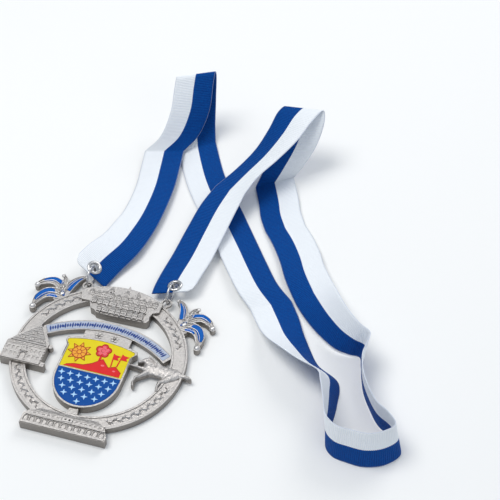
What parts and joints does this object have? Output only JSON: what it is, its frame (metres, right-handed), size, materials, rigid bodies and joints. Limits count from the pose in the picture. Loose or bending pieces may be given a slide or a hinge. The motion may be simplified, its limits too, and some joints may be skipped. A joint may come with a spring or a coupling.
{
  "type": "finisher medal",
  "caption": "Openwork round finisher medal with enamelled shield, banner and relief plaques, hung by jump rings from a blue and white neck ribbon laid out in loose loops.",
  "frame": {"origin": "centre of the medal's round rim, on the plane of its flat back, which is also the surface that the medal and its ribbon lie on", "axes": "+Z out of the medal's face, +Y in the medal's plane towards its lugs and ribbon, +X to the medal's right as its face is read"},
  "size_m": [0.2015, 0.2293, 0.0395],
  "materials": {
    "ribbon_fabric": "ribbed woven ribbon, one half blue and one half white",
    "nickel_eyelet": "bright nickel plate",
    "ring_wire": "nickel-plated round wire",
    "cast_metal": "antique silver over a rough cast relief",
    "pale_enamel": "soft enamel",
    "navy_enamel": "soft enamel",
    "yellow_enamel": "soft enamel",
    "blue_enamel": "soft enamel",
    "orange_enamel": "soft enamel",
    "red_enamel": "soft enamel",
    "light_blue_enamel": "soft enamel"
  },
  "bodies": {
    "ribbon": {"ribbon": "ribbon_fabric", "left_eyelet": "nickel_eyelet", "left_eyelet_washer": "nickel_eyelet", "right_eyelet": "nickel_eyelet", "right_eyelet_washer": "nickel_eyelet"},
    "left_ring": {"left_jump_ring": "ring_wire"},
    "right_ring": {"right_jump_ring": "ring_wire"},
    "medal": {"rim_ring": "cast_metal", "rim_relief": "cast_metal", "town_plaque": "cast_metal", "town_houses": "cast_metal", "gatehouse_plaque": "cast_metal", "gatehouse_details": "cast_metal", "town_hall_plaque": "cast_metal", "town_hall_details": "cast_metal", "horse_relief": "cast_metal", "banner_arch": "cast_metal", "banner_enamel": "pale_enamel", "banner_marks": "navy_enamel", "banner_tablet": "cast_metal", "tablet_studs": "cast_metal", "shield_plate": "cast_metal", "shield_stem": "cast_metal", "shield_upper_enamel": "yellow_enamel", "shield_lower_enamel": "blue_enamel", "shield_sun": "orange_enamel", "shield_hills": "red_enamel", "shield_stars": "light_blue_enamel", "left_cap_ornament": "cast_metal", "left_cap_enamel": "blue_enamel", "right_cap_ornament": "cast_metal", "right_cap_enamel": "blue_enamel", "left_lug": "cast_metal", "right_lug": "cast_metal"}
  },
  "joints": [
    {"name": "left_ring_swing", "type": "hinge", "parent": "ribbon", "child": "left_ring", "pos_m": [-0.0209, 0.0509, 0.0063], "axis": [-1, 0, 0], "range_deg": [0, 24]},
    {"name": "medal_swing", "type": "hinge", "parent": "left_ring", "child": "medal", "pos_m": [0, 0.0456, 0.00595], "axis": [-1, 0, 0], "range_deg": [0, 75]},
    {"name": "right_ring_swing", "type": "hinge", "parent": "ribbon", "child": "right_ring", "pos_m": [0.02175, 0.0509, 0.0063], "axis": [-1, 0, 0], "range_deg": [0, 24]}
  ],
  "couplings": [
    {"joint": "right_ring_swing", "follows": "left_ring_swing", "ratio": 1}
  ]
}
